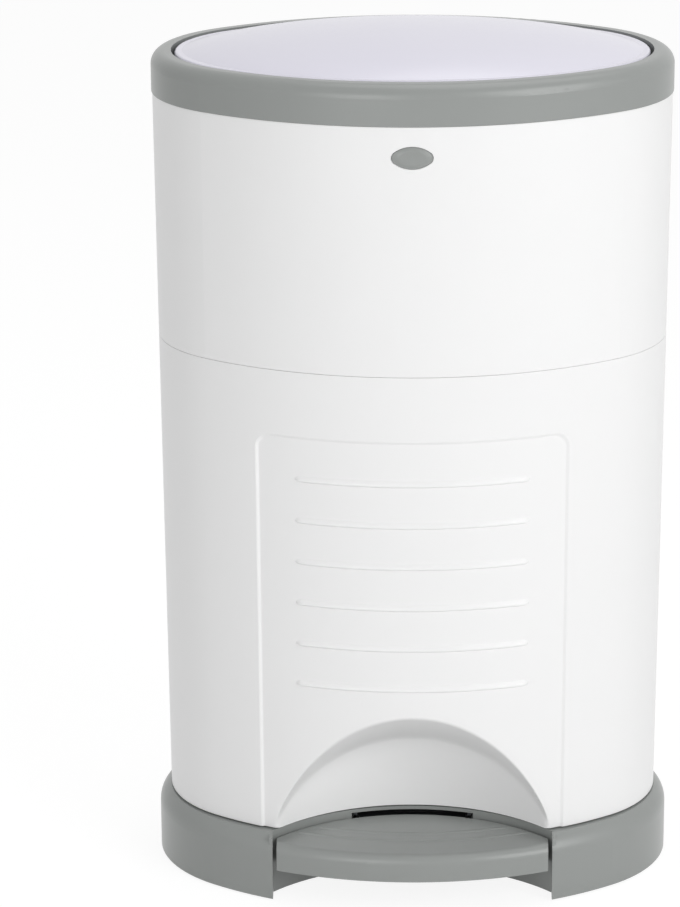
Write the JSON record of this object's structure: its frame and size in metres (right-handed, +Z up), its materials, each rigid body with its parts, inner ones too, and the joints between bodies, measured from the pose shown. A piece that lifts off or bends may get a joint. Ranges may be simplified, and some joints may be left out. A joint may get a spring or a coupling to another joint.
{
  "type": "nappy bin",
  "caption": "Oval pedal-operated nappy pail with a domed lid, sprung trap flaps, tilting top frame, side-hinged front door and foot recess.",
  "frame": {"origin": "on the floor, at the middle of the base", "axes": "+Z up, -Y the front with the pedal, +X to the right seen from the front"},
  "size_m": [0.44, 0.312, 0.7255],
  "materials": {
    "white_pp": "satin moulded polypropylene",
    "white_gloss": "smooth moulded ABS, soft gloss",
    "grey_pp": "satin moulded polypropylene",
    "inner_grey": "fine moulded texture",
    "cassette_pp": "satin moulded",
    "film": "pleated polythene film",
    "black_abs": "fine moulded texture",
    "steel": "drawn and zinc plated",
    "spring_steel": "drawn wire",
    "seal_rubber": "matt moulded rubber"
  },
  "bodies": {
    "root": {"base": "grey_pp", "body_shell": "white_pp", "door_hinge_pins": "steel", "door_catch": "black_abs", "pedal_axle": "spring_steel", "axle_clips": "black_abs", "pedal_spring": "spring_steel", "rod_bushing": "black_abs", "rod_guides": "grey_pp", "cassette_tray": "grey_pp", "refill_cassette": "cassette_pp", "film_pack": "film", "cassette_cover": "cassette_pp", "frame_hinge_pins": "steel", "button_carrier": "black_abs", "button_spring": "spring_steel", "rubber_feet": "seal_rubber", "base_screws": "steel"},
    "door": {"front_door": "white_pp", "door_strike": "steel", "cutter_guard": "grey_pp", "cutter_blade": "steel"},
    "pedal_arm": {"pedal": "grey_pp", "pedal_lever": "black_abs", "pedal_screws": "steel"},
    "rod": {"push_rod": "steel"},
    "frame": {"top_frame": "grey_pp", "lid_hinge_pins": "steel", "flap_pins": "steel", "flap_springs": "spring_steel"},
    "lid_body": {"lid": "white_gloss", "lid_panel": "inner_grey", "lid_seal": "seal_rubber"},
    "left_flap": {"flap_left": "inner_grey", "flap_seal": "seal_rubber"},
    "right_flap": {"flap_right": "inner_grey"},
    "button": {"release_button": "grey_pp"}
  },
  "joints": [
    {"name": "door_hinge", "type": "hinge", "parent": "root", "child": "door", "pos_m": [-0.20486, 0.006, 0.044], "axis": [-0.0082, 0, 1], "range_deg": [-95, 0]},
    {"name": "pedal_hinge", "type": "hinge", "parent": "root", "child": "pedal_arm", "pos_m": [0, -0.01, 0.03], "axis": [1, 0, 0], "range_deg": [0, 8.5], "stiffness_Nm_per_rad": 60, "springref_deg": -2.86, "deforming": ["pedal_spring"]},
    {"name": "rod_slide", "type": "slide", "parent": "root", "child": "rod", "axis": [0, 0, 1], "range_m": [0, 0.0185]},
    {"name": "frame_hinge", "type": "hinge", "parent": "root", "child": "frame", "pos_m": [0, 0.15, 0.666], "axis": [-1, 0, 0], "range_deg": [0, 80]},
    {"name": "lid_hinge", "type": "hinge", "parent": "frame", "child": "lid_body", "pos_m": [0, 0.116, 0.7015], "axis": [-1, 0, 0], "range_deg": [0, 72]},
    {"name": "left_flap_hinge", "type": "hinge", "parent": "frame", "child": "left_flap", "pos_m": [-0.113, 0, 0.645], "axis": [0, 1, 0], "range_deg": [0, 82]},
    {"name": "right_flap_hinge", "type": "hinge", "parent": "frame", "child": "right_flap", "pos_m": [0.113, 0, 0.645], "axis": [0, -1, 0], "range_deg": [0, 82]},
    {"name": "button_slide", "type": "slide", "parent": "root", "child": "button", "axis": [0, 1, 0], "range_m": [0, 0.0035], "stiffness_N_per_m": 800, "springref_m": -0.0015}
  ],
  "couplings": [
    {"joint": "rod_slide", "follows": "pedal_hinge", "m_per_rad": 0.117},
    {"joint": "lid_hinge", "follows": "pedal_hinge", "ratio": 8.2353},
    {"joint": "left_flap_hinge", "follows": "pedal_hinge", "ratio": 9.4118},
    {"joint": "right_flap_hinge", "follows": "pedal_hinge", "ratio": 9.4118}
  ]
}
